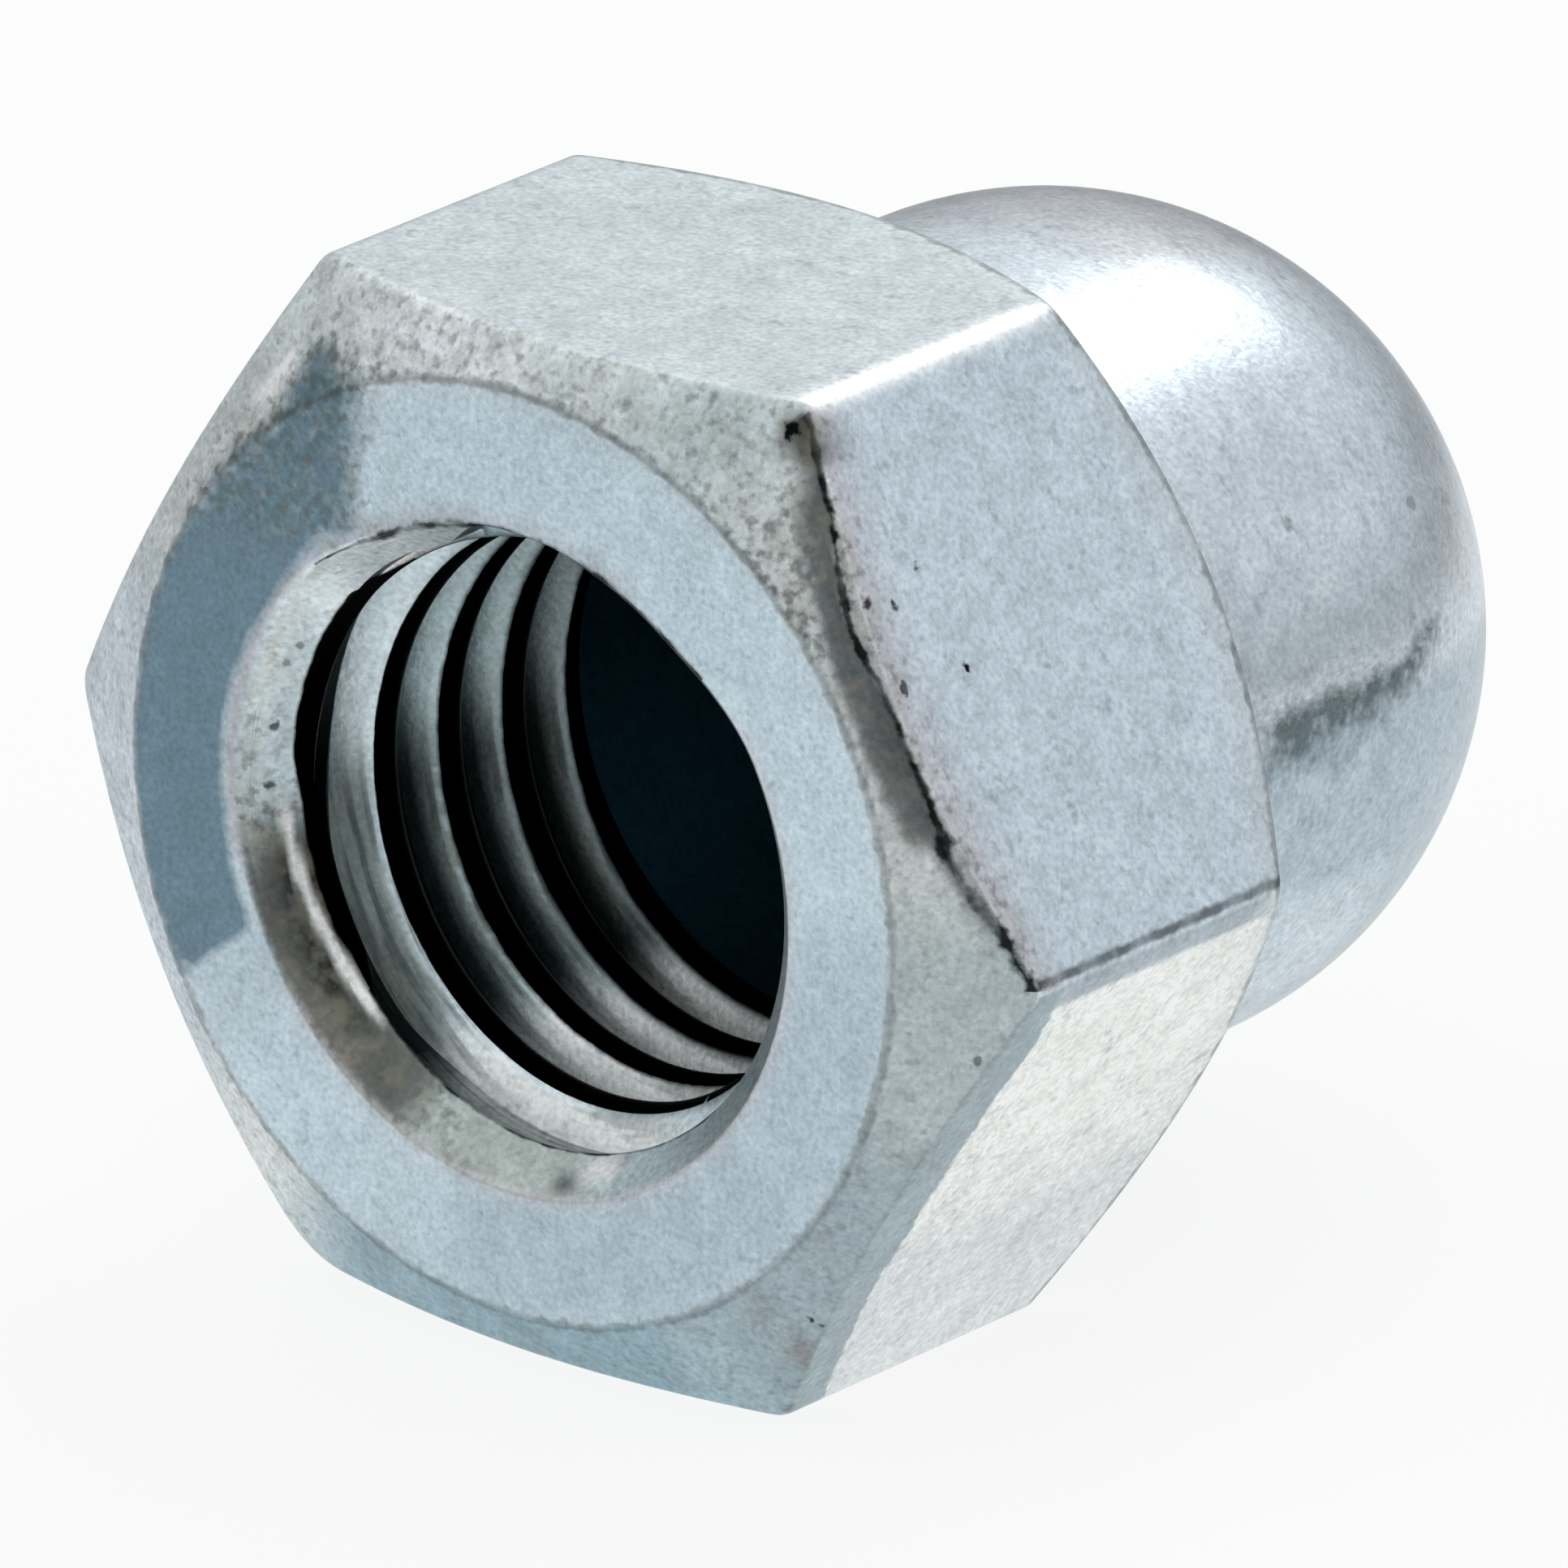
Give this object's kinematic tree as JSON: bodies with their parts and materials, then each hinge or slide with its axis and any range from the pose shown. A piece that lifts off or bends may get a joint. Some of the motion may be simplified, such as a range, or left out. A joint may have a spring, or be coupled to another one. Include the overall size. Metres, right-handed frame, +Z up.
{
  "type": "cap nut",
  "caption": "Hexagon cap nut with a domed closed end; a blind internal thread takes a bolt or stud, and the dome covers its end.",
  "frame": {"origin": "centre of the bearing face at the mouth of the thread, on the thread axis", "axes": "+Y along the thread axis from the mouth to the dome, +Z up out of the top flat while the nut lies on the opposite flat, X through two opposite corners of the hexagon"},
  "size_m": [0.0218, 0.0226, 0.019],
  "materials": {
    "zinc_plated_steel": "satin, finely grained blue-white zinc plating, with brown stains at the countersink and dark nicks at the corners"
  },
  "bodies": {
    "root": {"cap_nut": "zinc_plated_steel"}
  },
  "joints": []
}
